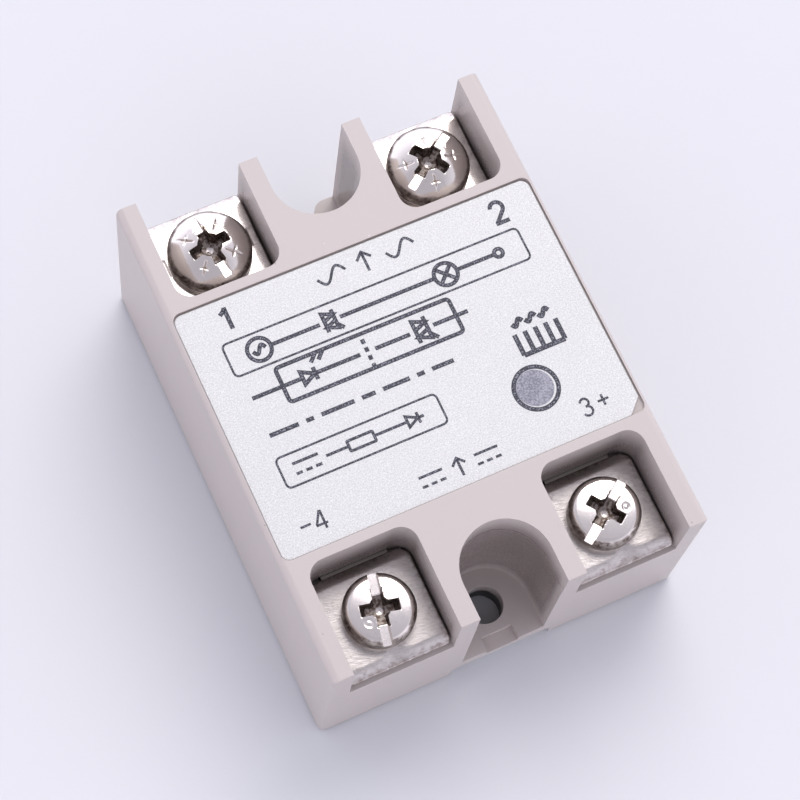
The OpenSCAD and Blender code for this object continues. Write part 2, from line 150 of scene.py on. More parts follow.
class Graph:
    """The nodes of one material or world."""

    def __init__(self, tree):
        self.tree = tree

    def add(self, kind, settings=None, values=None, out=0):
        """Adds a node: its settings first, then the values or links of its sockets. Returns one output."""
        node = self.tree.nodes.new(kind)
        for name, value in (settings or {}).items():
            setattr(node, name, value)
        for name, value in (values or {}).items():
            plug(self.tree, node.inputs[name], value)
        return Value(self.tree, node.outputs[out])

    def place(self, stretch=(1, 1, 1), centre=(0, 0, 0), turn=0.0):
        """The point on the object in millimetres from a centre, turned about Z and then stretched."""
        point = self.add("ShaderNodeTexCoord", out="Object")
        moved = self.add("ShaderNodeVectorMath", {"operation": "SUBTRACT"}, {0: point, 1: centre})
        turned = self.add("ShaderNodeVectorRotate", {"rotation_type": "Z_AXIS"},
                          {"Vector": moved, "Angle": turn})
        scale = tuple(s / MM for s in stretch)
        return self.add("ShaderNodeVectorMath", {"operation": "MULTIPLY"}, {0: turned, 1: scale})

    def parts(self, vector):
        """The X, Y and Z of a vector."""
        split = self.add("ShaderNodeSeparateXYZ", values={"Vector": vector}).socket.node
        return [Value(self.tree, socket) for socket in split.outputs]

    def ease(self, value, low, high):
        """0 below low and 1 above high, with a smooth rise between. low may be the larger."""
        return self.add("ShaderNodeMapRange", {"interpolation_type": "SMOOTHSTEP"},
                        {"Value": value, "From Min": low, "From Max": high})

    def mix(self, factor, first, second):
        """A colour between two others."""
        return self.add("ShaderNodeMix", {"data_type": "RGBA"}, {0: factor, 6: first, 7: second}, out=2)

    def attribute(self, name):
        """A number stored on the piece's own points."""
        return self.add("ShaderNodeAttribute", {"attribute_name": name}, out="Fac")


class Finish(Graph):
    """A material in the making: one Principled shader, and the nodes that feed it."""

    def __init__(self, name, **fixed):
        self.material = bpy.data.materials.new(name)
        self.material.use_nodes = True
        super().__init__(self.material.node_tree)
        self.shader = self.tree.nodes["Principled BSDF"]
        self.point = self.place()
        for socket, value in fixed.items():
            plug(self.tree, self.shader.inputs[socket.replace("_", " ")], value)

    def noise(self, scale, detail=2.0, roughness=0.5, at=None):
        """Cloudy noise, about 0 to 1, with the given number of features to a millimetre."""
        return self.add("ShaderNodeTexNoise", values={
            "Vector": at or self.point, "Scale": scale, "Detail": detail, "Roughness": roughness})

    def cells(self, scale, at=None):
        """Distance to the nearest of points scattered at the given number to a millimetre."""
        return self.add("ShaderNodeTexVoronoi", values={"Vector": at or self.point, "Scale": scale})

    def mottle(self, factor, shade, share):
        """A colour, darkened to a share of itself where the factor is 0."""
        return self.mix(factor, tuple(c * share for c in shade), shade)

    def feed(self, socket, value):
        """Links what varies over the surface to one of the shader's inputs."""
        plug(self.tree, self.shader.inputs[socket], value)

    def done(self, base, roughness, relief=None, depth_mm=0.0, strength=1.0):
        """The material, with its colour, its roughness and a relief from 0 to 1 that is depth_mm high."""
        self.feed("Base Color", base)
        self.feed("Roughness", roughness)
        if relief is not None:
            self.feed("Normal", self.add("ShaderNodeBump", values={
                "Height": relief, "Distance": depth_mm * MM, "Strength": strength}))
        return self.material


# ---------- finishes ----------

def middle_of(node):
    """The X and Y of the middle of a CAD node."""
    low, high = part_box(node)
    return (low.x + high.x) / 2, (low.y + high.y) / 2


# Mask for the painted shade that darkens the case plastic deep in its wells and notches.
def recess_shade(finish):
    """How deep a point lies in a terminal well or a notch, from 0 at the top to 1 near the bottom. The
    footprints are those of the case's own recesses, a little larger so that their walls are inside."""
    x, y, z = finish.parts(finish.point)
    x, y = abs(x), abs(y)
    edge, outside = 0.15, 9
    middle = abs(middle_of("input_terminal_4")[0]) / MM
    in_well = finish.ease(abs(x - middle), WELL_HALF + edge, WELL_HALF + edge / 2) * finish.ease(
        y, WELL_START - edge, WELL_START - edge / 2)
    round_end = (x ** 2 + (y - NOTCH_Y) ** 2) ** 0.5
    straight = x + finish.ease(y, NOTCH_Y, NOTCH_Y - 0.1) * outside
    in_notch = finish.ease(round_end.math("MINIMUM", straight), NOTCH_HALF + edge, NOTCH_HALF + edge / 2)
    well = in_well * finish.ease(z, 23.9, 18.5)
    notch = in_notch * finish.ease(z, 23.6, 19.0) * finish.ease(z, 4.4, 7.0)
    end = CAD_BOX[1].y / MM
    return well.math("MAXIMUM", notch) * finish.ease(y, end - 0.3, end - 1.5)


def case_plastic(settings):
    """Fine matt moulded plastic: an even skin, faint flow clouds, a few specks, dust and painted shade deep
    in its wells and notches.
    """
    finish = Finish("case_plastic", Specular_IOR_Level=0.45)
    clouds = finish.noise(0.11, 3.0)
    skin = finish.noise(7.0, 2.0)
    ripple = finish.noise(1.1, 2.0)
    speck = finish.ease(finish.cells(0.42), 0.045, 0.03) * finish.ease(clouds, 0.42, 0.5)
    dust = finish.ease(finish.cells(0.33, at=finish.place(centre=(0.003, 0.007, 0))), 0.03, 0.02)
    base = finish.mottle(clouds * 0.5 + skin * 0.5, settings.plastic, 0.93)
    base = finish.mix(speck * 0.55, base, (0.16, 0.12, 0.10))
    # painted shade: deep in the wells and notches the plastic darkens towards the recess shade colour
    deep = recess_shade(finish)
    base = finish.mix(deep * (0.5 + clouds * 0.25), base, settings.painted_shade_and_dirt)
    base = finish.mix(dust * 0.5, base, (0.85, 0.83, 0.82))
    return finish.done(base, 0.32 + clouds * 0.10 + skin * 0.08 - deep * 0.15,
                       skin * 0.6 + ripple, 0.010, 0.6)


def label_film(settings):
    """Silver-white film with an even, very fine metallic grain."""
    finish = Finish("label_film", Specular_IOR_Level=0.5)
    grain = finish.noise(6.5, 1.0, 0.6)
    sparkle = finish.ease(finish.noise(9.0, 0.0, at=finish.place(centre=(0.01, 0, 0))), 0.60, 0.72)
    shade = finish.noise(0.05, 1.0)
    base = finish.mottle(finish.ease(grain, 0.34, 0.62), settings.film, 0.80)
    base = finish.mix(sparkle * 0.3, base, (0.85, 0.85, 0.86))
    finish.feed("Metallic", 0.10 + sparkle * 0.15)
    return finish.done(base, 0.42 + shade * 0.10 + grain * 0.08, grain, 0.006, 0.35)


def label_ink(settings):
    """Screen-printed ink: solid along the edge of a stroke, broken by the film's grain inside it."""
    finish = Finish("label_ink", Specular_IOR_Level=0.4)
    grain = finish.noise(6.0, 1.0, 0.6)
    inside = finish.ease(finish.attribute("across"), 0.85, 0.25)
    gaps = finish.ease(grain, 0.50, 0.62) * (0.1 + inside * 0.6)
    return finish.done(finish.mix(gaps, settings.ink, (0.27, 0.27, 0.31)), 0.42 + grain * 0.2,
                       grain, 0.008, 0.4)


def indicator_tint(settings):
    """Grey translucent ink over the lamp's window, mottled by the film's grain."""
    finish = Finish("indicator_tint", Specular_IOR_Level=0.5)
    grain = finish.noise(5.0, 2.0, 0.7)
    clouds = finish.noise(0.7, 1.0)
    base = finish.mix(finish.ease(grain + (clouds - 0.5) * 0.3, 0.30, 0.72), settings.window,
                      (0.33, 0.325, 0.36))
    return finish.done(base, 0.35 + grain * 0.25, grain, 0.01, 0.5)


def bright_nickel(settings):
    """Polished nickel plating with fine handling marks. Its dark brown tint in the slot and cross is partly
    deposit and partly painted shade, and on the side of the head it is a painted dark reflection.
    """
    finish = Finish("bright_nickel", Metallic=1.0)
    depth = finish.attribute("recess")
    clouds = finish.noise(0.9, 3.0)
    marks = finish.noise(1.0, 3.0, at=finish.place((9, 1.2, 3), turn=0.6))
    # partly painted shade: dark brown in the slot and cross is some deposit and some painted shade, and on
    # the side of the head a painted dark reflection
    deposit_and_painted_shade = finish.ease(depth + (clouds - 0.5) * 0.6, 0.45, 0.95)
    stain = finish.ease(clouds, 0.62, 0.80) * 0.35
    base = finish.mix(stain, settings.nickel, (0.44, 0.38, 0.35))
    facets = finish.ease(finish.noise(2.6, 1.0), 0.40, 0.60)
    base = finish.mix(deposit_and_painted_shade * (0.97 - facets * 0.22), base, (0.07, 0.045, 0.034))
    return finish.done(base, 0.10 + clouds * 0.08 + deposit_and_painted_shade * 0.34 + finish.ease(marks, 0.6, 0.8) * 0.08,
                       marks * 0.3 + clouds, 0.012, 0.5)


def plate_nickel(name, settings, etched):
    """Nickel-plated sheet. etched, 0 to 1, sets how far short pressed streaks dull it."""
    finish = Finish(name, Metallic=1.0)
    clouds = finish.noise(0.55, 3.0)
    patches = finish.noise(1.7, 4.0, 0.6)
    streaks = finish.noise(1.0, 2.0, 0.6, at=finish.place((1.3, 5.0, 2), turn=0.25))
    pits = finish.noise(6.0, 2.0, 0.6)
    base = finish.mix(0.5 * etched, settings.nickel, (0.42, 0.385, 0.37))
    base = finish.mix(finish.ease(patches, 0.54, 0.72) * (0.12 + 0.26 * etched), base, (0.34, 0.28, 0.245))
    base = finish.mix(finish.ease(streaks, 0.42, 0.66) * 0.35 * etched, base, (0.38, 0.35, 0.335))
    # darker brown towards the rim: partly dirt, partly painted shade and painted reflection of the well
    # walls
    painted_shade_and_dirt = finish.ease(finish.attribute("rim") + (patches - 0.5) * 0.35, 0.88, 1.06)
    base = finish.mix(painted_shade_and_dirt * (0.6 + 0.1 * etched), base, (0.20, 0.15, 0.125))
    relief = clouds * 0.6 + streaks * (0.1 + 0.9 * etched) + pits * 0.35 * etched
    return finish.done(base, 0.10 + 0.15 * etched + clouds * 0.08 + pits * (0.16 * etched + 0.02),
                       relief, 0.03, 0.8)


def brushed_metal(name, shade, along, roughness=0.34, shaded_bores=()):
    """Metal brushed or drawn along one axis: 0 for X, 1 for Y, 2 for Z. The walls of any holes given as (x,
    y, radius) in millimetres get a painted shade that darkens them nearly to black."""
    finish = Finish(name, Metallic=1.0)
    stretch = [9.0, 9.0, 9.0]
    stretch[along] = 0.25
    lines = finish.noise(1.0, 3.0, 0.65, at=finish.place(stretch))
    clouds = finish.noise(0.22, 3.0)
    base = finish.mottle(lines * 0.5 + clouds * 0.5, shade, 0.72)
    x, y, _ = finish.parts(finish.point)
    # painted shade: the walls of the holes darken nearly to black
    for bore_x, bore_y, radius in shaded_bores:
        off = ((x - bore_x) ** 2 + (y - bore_y) ** 2) ** 0.5
        base = finish.mix(finish.ease(off, radius + 0.25, radius + 0.05) * 0.9, base, (0.035, 0.028, 0.025))
    return finish.done(base, roughness - 0.08 + lines * 0.14 + clouds * 0.08, lines, 0.006, 0.5)


def moulded(name, shade, roughness=0.45, grain_mm=0.12, fleck=None):
    """Moulded or cast resin: an even shade, a fine skin, and flecks if a fleck colour is given."""
    finish = Finish(name, Specular_IOR_Level=0.5)
    skin = finish.noise(1 / grain_mm, 2.0)
    clouds = finish.noise(0.3, 2.0)
    base = finish.mottle(clouds, shade, 0.85)
    if fleck:
        base = finish.mix(finish.ease(skin, 0.60, 0.72) * 0.6, base, fleck)
    return finish.done(base, roughness - 0.05 + skin * 0.1, skin + clouds, 0.01, 0.5)


def board_laminate():
    """Green solder mask over woven glass, with a raised pattern of copper tracks."""
    finish = Finish("board_laminate", Specular_IOR_Level=0.55)
    x, y, _ = finish.parts(finish.point)
    weave = (x * 5.2).math("SINE") * (y * 5.2).math("SINE")
    rows = abs((y / 3.2).math("FRACT") - 0.5)
    lanes = finish.noise(1.0, 0.0, at=finish.place((0.02, 0.31, 1)))
    tracks = finish.ease(rows, 0.36, 0.40) * finish.ease(lanes, 0.46, 0.48)
    base = finish.mix(weave * 0.1 + 0.5, (0.015, 0.085, 0.035), (0.03, 0.14, 0.06))
    return finish.done(finish.mix(tracks * 0.8, base, (0.07, 0.26, 0.10)),
                       0.30 - tracks * 0.06 + weave * 0.04,
                       tracks + weave * 0.08, 0.04, 0.6)


def banded(name, node, coat, bands, body_share):
    """A lacquered resistor that lies along X, with a ring of each band's colour and bare wire ends."""
    low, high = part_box(node)
    centre = (low + high) / 2
    finish = Finish(name, Specular_IOR_Level=0.5)
    x = finish.parts(finish.place(centre=tuple(centre)))[0]
    half = (high.x - low.x) / MM / 2 * body_share
    skin = finish.noise(4.0, 2.0)
    base = finish.mottle(skin, coat, 0.85)
    pitch = half * 1.5 / len(bands)
    for i, shade in enumerate(bands):
        place = -half * 0.72 + pitch * (i + (0.6 if i == len(bands) - 1 else 0))
        base = finish.mix(finish.ease(abs(x - place), pitch * 0.28, pitch * 0.24), base, shade)
    wire = finish.ease(abs(x), half, half + 0.05)
    finish.feed("Metallic", wire)
    return finish.done(finish.mix(wire, base, TIN), 0.34 + skin * 0.12 - wire * 0.06, skin, 0.02, 0.5)


def legged(name, node, body, lift_mm):
    """A moulded part on tinned legs: the legs show below a height above the node's lowest point."""
    low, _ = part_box(node)
    finish = Finish(name, Specular_IOR_Level=0.5)
    z = finish.parts(finish.place(centre=tuple(low)))[2]
    skin = finish.noise(6.0, 2.0)
    leg = finish.ease(z, lift_mm, lift_mm - 0.05)
    base = finish.mottle(skin, body, 0.8)
    finish.feed("Metallic", leg)
    return finish.done(finish.mix(leg, base, TIN), 0.36 + skin * 0.14 - leg * 0.08, skin, 0.015, 0.5)


def lamp_resin():
    """Tinted clear resin, with a soft inner cloud."""
    finish = Finish("lamp_resin", Transmission_Weight=0.55, IOR=1.5)
    clouds = finish.noise(0.8, 2.0)
    return finish.done(finish.mix(clouds, (0.50, 0.02, 0.02), (0.72, 0.06, 0.04)), 0.08 + clouds * 0.1)


def floor_paper(settings):
    """Pale seamless paper with a barely visible tooth."""
    finish = Finish("floor_paper", Specular_IOR_Level=0.15)
    tooth = finish.noise(2.2, 3.0)
    clouds = finish.noise(0.012, 2.0)
    return finish.done(finish.mottle(clouds * 0.7 + tooth * 0.3, settings.floor, 0.985), 0.8 + tooth * 0.1,
                       tooth, 0.02, 0.3)


# ---------- meshes ----------

def ring_faces(rows, columns, start=0, flip=False, wrap=False):
    """Quads between rows of points, where each row closes on itself, and with wrap the last row on the
    first."""
    here = np.arange(rows if wrap else rows - 1)[:, None] * columns
    there = (here + columns) % (rows * columns)
    column = np.arange(columns)[None, :]
    after = (column + 1) % columns
    quads = np.stack([here + column, here + after, there + after, there + column], axis=-1) + start
    return (quads[..., [0, 3, 2, 1]] if flip else quads).reshape(-1, 4).tolist()


def cap_faces(centre, start, columns, flip=False):
    """Triangles from a middle point to a row of points that closes on itself."""
    ring = np.arange(columns)
    pair = [start + ring, start + (ring + 1) % columns]
    return np.stack([np.full(columns, centre), *(pair[::-1] if flip else pair)], axis=-1).tolist()


def show(name, mesh, material):
    """Puts a mesh in the scene as an object, smooth and with its material."""
    mesh.materials.clear()
    mesh.materials.append(material)
    mesh.shade_smooth()
    piece = bpy.data.objects.new(name, mesh)
    bpy.context.scene.collection.objects.link(piece)
    return piece


def add_piece(name, points, faces, material, smooth_deg=40.0, numbers=None):
    """A new object from worked-out points and faces. numbers are named values, one for each point."""
    mesh = bpy.data.meshes.new(name)
    mesh.from_pydata(np.asarray(points, float).reshape(-1, 3).tolist(), [], faces)
    for key, values in (numbers or {}).items():
        mesh.attributes.new(key, "FLOAT", "POINT").data.foreach_set(
            "value", np.asarray(values, np.float32).ravel())
    piece = show(name, mesh, material)
    mesh.set_sharp_from_angle(angle=math.radians(smooth_deg))
    mesh.validate()
    return piece


def cad_copy(node, name, material, edge, segments=2):
    """A CAD node's surface, its triangles merged into flat faces, with every sharp edge rounded."""
    together, flat_deg, sharp_deg = 0.0005 * MM, 0.5, 35
    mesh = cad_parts[node].data.copy()
    mesh.name = name
    work = bmesh.new()
    work.from_mesh(mesh)
    bmesh.ops.remove_doubles(work, verts=work.verts, dist=together)
    bmesh.ops.dissolve_degenerate(work, edges=work.edges, dist=together)
    bmesh.ops.dissolve_limit(work, angle_limit=math.radians(flat_deg), verts=work.verts, edges=work.edges)
    bmesh.ops.recalc_face_normals(work, faces=work.faces)
    work.to_mesh(mesh)
    work.free()
    piece = show(name, mesh, material)
    bevel = piece.modifiers.new("rounded_edges", "BEVEL")
    bevel.width = edge
    bevel.segments = segments
    bevel.limit_method = "ANGLE"
    bevel.angle_limit = math.radians(sharp_deg)
    bevel.use_clamp_overlap = True
    bevel.miter_outer = "MITER_ARC"
    flat = piece.modifiers.new("flat_faces", "WEIGHTED_NORMAL")
    flat.weight = 100
    return piece


def hang(piece, body, node, stands_for=True):
    """Says which body a piece moves with and, unless it is only added to a CAD node, that it stands for
    that node, which is hidden."""
    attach(piece, body)
    if stands_for:
        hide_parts(node)


# ---------- case ----------

class CaseSettings(bpy.types.PropertyGroup):
    """Sizes and colours of the case and its base."""

    edge: length("Edge rounding", "Radius on the moulded edges of the case", 0.22)
    base_edge: length("Base edge rounding", "Radius on the edges of the base plate", 0.15)
    plastic: colour("Plastic", "Colour of the moulded case", (0.485, 0.430, 0.400))
    # painted shade: the colour the plastic darkens towards deep in its recesses
    painted_shade_and_dirt: colour("Recess shade", "Colour of the plastic deep in its recesses", (0.13, 0.095, 0.085))
    aluminium: colour("Aluminium", "Colour of the base plate", (0.72, 0.73, 0.75))


class RELAY_OT_case(bpy.types.Operator):
    """Build the moulded case and the base plate"""

    bl_idname = "relay.case"
    bl_label = "Case"

    def execute(self, context):
        settings = context.scene.relay_case
        shell = cad_copy("housing", "case_shell", case_plastic(settings), settings.edge, 3)
        hang(shell, CASE_BODY, "housing")
        metal = brushed_metal("base_aluminium", settings.aluminium, along=1, shaded_bores=[(0, -24, 2.25)])
        base = cad_copy("base_plate", "heat_spreader", metal, settings.base_edge)
        hang(base, CASE_BODY, "base_plate")
        return {"FINISHED"}


# ---------- label ----------

class LabelSettings(bpy.types.PropertyGroup):
    """Sizes and colours of the label and its print."""

    film: colour("Film", "Colour of the label film", (0.595, 0.59, 0.565))
    ink: colour("Ink", "Colour of the print", (0.022, 0.022, 0.032))
    window: colour("Window", "Darker tint of the indicator window", (0.13, 0.13, 0.16))
    film_edge: length("Film edge rounding", "Radius on the edges of the film", 0.06)
    ink_height: length("Ink height", "How far the print stands on the film", 0.015)
    fine: length("Fine line", "Width of the thin print lines", 0.24)
    bold: length("Bold line", "Width of the heavy print lines", 0.50)


def line(*corners):
    """A path of straight stretches through the corners, in millimetres."""
    return np.array(corners, float)


def arc(x, y, radius, start, end, steps=24):
    """A path round a centre, from one angle to another in degrees."""
    t = np.radians(np.linspace(start, end, steps))
    return np.stack([x + radius * np.cos(t), y + radius * np.sin(t)], axis=1)


def wave(x, y, width, height, steps=24):
    """One period of a sine, centred on a point."""
    t = np.linspace(-0.5, 0.5, steps)
    return np.stack([x + t * width, y + np.sin(-2 * math.pi * t) * -height / 2], axis=1)


def frame_path(low_x, low_y, high_x, high_y, radius):
    """A closed rectangle with round corners."""
    corners = [(high_x - radius, high_y - radius, 0), (low_x + radius, high_y - radius, 90),
               (low_x + radius, low_y + radius, 180), (high_x - radius, low_y + radius, 270)]
    return np.concatenate([arc(x, y, radius, a, a + 90, 5) for x, y, a in corners])


def moved(paths, x, y, scale):
    """The same paths scaled and then moved."""
    return [(path * scale + (x, y), closed) for path, closed in paths]


def opened(*paths):
    """Paths that don't close on themselves."""
    return [(path, False) for path in paths]


def level(y, *spans):
    """Level lines at one height, each from one X to another."""
    return opened(*[line((start, y), (end, y)) for start, end in spans])


def digit(number):
    """The strokes of a digit one unit high, standing on the origin."""
    strokes = {
        1: (line((0.34, 0), (0.34, 1)), line((0.36, 0.97), (0.24, 0.83), (0.06, 0.72))),
        2: (np.concatenate([arc(0.30, 0.70, 0.27, 170, -38, 16), line((0.05, 0.05))]),
            line((0, 0.05), (0.60, 0.05))),
        3: (arc(0.27, 0.74, 0.23, 165, -95, 18), arc(0.27, 0.27, 0.26, 95, -160, 18)),
        4: (line((0.43, 1.0), (0.03, 0.30)), line((0.0, 0.28), (0.62, 0.28)), line((0.46, 1.0), (0.46, 0))),
    }
    return opened(*strokes[number])


def arrow(x, y, size, sign):
    """An upright arrow through a point. sign 1 points along Y, and -1 against it."""
    tip = y + sign * size / 2
    head = size * 0.36
    return opened(line((x, y - sign * size / 2), (x, tip)),
                  line((x - head, tip - sign * head), (x, tip), (x + head, tip - sign * head)))


def direct_current(x, y, width):
    """The sign for direct current: a full line over three dashes."""
    gap, dash = width * 0.2, width * 0.24
    middles = [x + i * width * 0.38 for i in (-1, 0, 1)]
    return level(y + gap, (x - width / 2, x + width / 2)) + level(
        y - gap, *[(m - dash / 2, m + dash / 2) for m in middles])


def diode(x, y, size):
    """A diode that points along X, with its leads."""
    h = size / 2
    return level(y, (x - size, x - h), (x + h, x + size)) + opened(line((x + h, y - h), (x + h, y + h))) + [
        (line((x - h, y - h), (x - h, y + h), (x + h * 0.9, y)), True)]


def triac(x, y, size):
    """Two triangles pointing opposite ways between two bars, with a gate lead."""
    h = size / 2
    return opened(line((x - h, y - size), (x - h, y + size)), line((x + h, y - size), (x + h, y + size)),
                  line((x + h, y - h), (x + size, y - size * 1.1))) + [
        (line((x - h, y + size * 0.9), (x - h, y + size * 0.1), (x + h, y + h)), True),
        (line((x + h, y - size * 0.9), (x + h, y - size * 0.1), (x - h, y - h)), True)]


def lamp(x, y, radius):
    """A circle with a cross in it."""
    k = radius * math.sqrt(0.5)
    return opened(line((x - k, y - k), (x + k, y + k)), line((x - k, y + k), (x + k, y - k))) + [
        (arc(x, y, radius, 0, 345, 24), True)]


def fins(x, y, width, height):
    """A heat sink seen from its end: a base line and upright fins."""
    uprights = [line((x + i * width / 4, y), (x + i * width / 4, y + height)) for i in (-2, -1, 0, 1, 2)]
    return level(y, (x - width / 2, x + width / 2)) + opened(*uprights)


def print_strokes(settings):
    """Every stroke on the label as (path in millimetres, closed, width in metres). The names are the
    heights of the rows that the symbols stand in."""
    fine, bold = settings.fine, settings.bold
    middle = (fine + bold) / 2
    output_signs, load, coupler, divide, control, input_signs = 12.8, 7.9, 3.0, -1.6, -6.05, -12.9
    groups = [
        (moved(digit(1), -16.75, 11.25, 2.65), bold),
        (moved(digit(2), 16.05, 10.95, 2.75), bold * 0.95),
        (moved(digit(3), 15.1, -13.3, 2.1) + level(-12.2, (17.1, 18.4))
         + opened(line((17.75, -12.85), (17.75, -11.55))), fine * 1.1),
        (moved(digit(4), -16.75, -13.4, 2.15) + level(-12.3, (-18.4, -17.2)), fine * 1.1),
        ([(frame_path(-17.84, 5.9, 17.9, 9.9, 0.55), True)], fine),
        ([(frame_path(-17.8, -7.85, 1.15, -4.25, 0.55), True)], fine),
        (opened(wave(-3.4, output_signs, 3.4, 1.7)) + arrow(0.7, output_signs, 2.4, 1)
         + opened(wave(4.9, output_signs, 3.4, 1.7)), middle * 0.85),
        (direct_current(-3.2, input_signs, 2.8) + arrow(0.1, input_signs, 2.1, 1)
         + direct_current(3.4, input_signs, 2.8), middle * 0.8),
        (opened(wave(-14.2, load, 1.5, 0.9)) + level(load, (-12.8, -7.0), (-4.6, 6.8), (9.7, 14.2))
         + triac(-5.8, load, 1.2) + lamp(8.25, load, 1.35)
         + [(arc(-14.2, load, 1.35, 0, 345, 24), True), (arc(14.75, load, 0.5, 0, 330, 12), True)],
         bold * 0.92),
        (level(coupler, (-17.2, -12.0), (-9.0, -4.4)) + diode(-10.5, coupler, 1.5)
         + opened(*[line((-9.7 + i, 4.3), (-8.9 + i, 5.1)) for i in (0, 0.9)])
         + opened(*[line((-3.5, y), (-3.5, y + 0.55)) for y in (1.0, 2.0, 3.0, 4.0)])
         + level(coupler, (-2.6, 1.6), (4.4, 8.6)) + triac(3.0, coupler, 1.4)
         + [(frame_path(-13.6, 1.0, 7.2, 5.2, 0.4), True)], bold * 0.95),
        (level(divide, *[(x, x + w) for x, w in ((-17.2, 3.4), (-12.9, 0.9), (-11.1, 3.9), (-6.3, 1.6),
                                                 (-3.8, 3.2), (0.3, 0.9), (2.1, 2.6))]), bold),
        (direct_current(-14.8, control, 3.0) + level(control, (-12.6, -9.9), (-6.9, -3.6))
         + [(frame_path(-9.9, control - 0.6, -6.9, control + 0.6, 0.1), True)]
         + diode(-2.3, control, 1.3), fine * 1.35),
        (fins(14.6, -4.2, 5.0, 2.6) + opened(*[wave(14.6 + x, -0.4, 1.3, 0.7) for x in (-1.6, 0.0, 1.6)]),
         bold * 1.1),
    ]
    return [(path, closed, width) for paths, width in groups for path, closed in paths]


def stroke_solid(path, closed, width, base_z, height):
    """A low bar of ink along a path. At each point the half width goes to either side along the mitre,
    which is the mean of the two stretches' normals divided by its dot product with one of them."""
    p = path * MM
    step = np.diff(p, axis=0, append=p[:1]) if closed else np.diff(p, axis=0)
    step = step / np.linalg.norm(step, axis=1, keepdims=True)
    into = np.roll(step, 1, axis=0) if closed else np.concatenate([step[:1], step])
    out = step if closed else np.concatenate([step, step[-1:]])
    normal_in = np.stack([-into[:, 1], into[:, 0]], axis=1)
    normal_out = np.stack([-out[:, 1], out[:, 0]], axis=1)
    mitre = normal_in + normal_out
    mitre = mitre / np.linalg.norm(mitre, axis=1, keepdims=True)
    reach = width / 2 / np.clip((mitre * normal_out).sum(1, keepdims=True), 0.4, 1.0)
    side = np.array([1, 1, 0, -1, -1, 0])
    above = np.array([0, 1, 1, 1, 0, 0]) * height
    flat = p[:, None, :] + side[None, :, None] * (mitre * reach)[:, None, :]
    up = np.broadcast_to(base_z + above, flat.shape[:2])
    points = np.concatenate([flat, up[..., None]], axis=-1)
    rows, columns = points.shape[:2]
    faces = ring_faces(rows, columns, wrap=closed)
    if not closed:
        faces += [list(range(columns))[::-1], list(range((rows - 1) * columns, rows * columns))]
    across = np.broadcast_to(np.abs(side), (rows, columns))
    return points.reshape(-1, 3), faces, across.ravel()


def join_solids(solids):
    """Several (points, faces, numbers) sets as one."""
    starts = np.cumsum([0] + [len(points) for points, _, _ in solids[:-1]])
    faces = [[i + int(start) for i in face]
             for (_, group, _), start in zip(solids, starts) for face in group]
    return (np.concatenate([points for points, _, _ in solids]), faces,
            np.concatenate([numbers for _, _, numbers in solids]))


def dome_disc(x, y, radius, base_z, height, rings=8, columns=48):
    """A low dome: its height falls as one minus the fourth power of the distance from its middle."""
    share = np.concatenate([np.linspace(0, 1, rings), [1.0]])[1:]
    t = np.linspace(0, 2 * math.pi, columns, endpoint=False)
    above = height * (1 - share ** 4)
    above[-1] = -height
    points = np.stack([x + radius * share[:, None] * np.cos(t), y + radius * share[:, None] * np.sin(t),
                       np.broadcast_to(base_z + above[:, None], (len(share), columns))], axis=-1)
    points = np.concatenate([[[x, y, base_z + height]], points.reshape(-1, 3)])
    last = list(range(1 + (len(share) - 1) * columns, 1 + len(share) * columns))[::-1]
    return points, cap_faces(0, 1, columns) + ring_faces(len(share), columns, 1, flip=True) + [last]


class RELAY_OT_label(bpy.types.Operator):
    """Build the label, its generic print and the indicator window"""

    bl_idname = "relay.label"
    bl_label = "Label"

    def execute(self, context):
        settings = context.scene.relay_label
        film = cad_copy("label", "label_sheet", label_film(settings), settings.film_edge)
        hang(film, CASE_BODY, "label")
        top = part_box("label")[1].z
        lamp_x, lamp_y = middle_of("indicator_led")
        lift = settings.ink_height
        sunk, step = 0.002 * MM, 0.00002 * MM  # how far a stroke is sunk in the film, and tops the last one
        ring = arc(lamp_x / MM, lamp_y / MM, 2.48, 0, 357, 96)
        strokes = print_strokes(settings) + [(ring, True, 0.5 * MM)]
        solids = [stroke_solid(path, closed, width, top - sunk, lift + i * step)
                  for i, (path, closed, width) in enumerate(strokes)]
        points, faces, across = join_solids(solids)
        ink = add_piece("label_print", points, faces, label_ink(settings), numbers={"across": across})
        hang(ink, CASE_BODY, "label", stands_for=False)
        points, faces = dome_disc(lamp_x - 0.1 * MM, lamp_y + 0.06 * MM, 2.12 * MM, top, lift * 0.8)
        window = add_piece("indicator_window", points, faces, indicator_tint(settings))
        hang(window, CASE_BODY, "label", stands_for=False)
        return {"FINISHED"}


# ---------- terminals ----------

class TerminalSettings(bpy.types.PropertyGroup):
    """Sizes and colours of the clamp plates, screws and bars."""

    nickel: colour("Nickel", "Colour of the nickel plating", (0.755, 0.695, 0.645))
    bar: colour("Bars", "Colour of the terminal bars", (0.36, 0.32, 0.28))
    slot_width: length("Slot width", "Width of the slot across a screw's head", 1.15)
    slot_depth: length("Slot depth", "Depth of the slot below the top of the head", 1.1)
    wing_width: length("Cross width", "Width of the arms of the cross recess", 1.32)
    fold: length("Fold", "Width of the curved lip along a clamp plate", 1.35)
    drop: length("Drop", "How far the lip turns down", 0.5)
    bulge: length("Bulge", "How far the pressed dent reaches in from the lip", 1.0)
    press: length("Press marks", "Depth of the marks at the sides of the output plates", 0.07)
    bar_edge: length("Bar edge", "Radius on the edges of the terminal bars", 0.08)


def smooth_step(value, low, high):
    """0 below low and 1 above high, with a smooth rise between."""
    t = np.clip((value - low) / (high - low), 0, 1)
    return t * t * (3 - 2 * t)


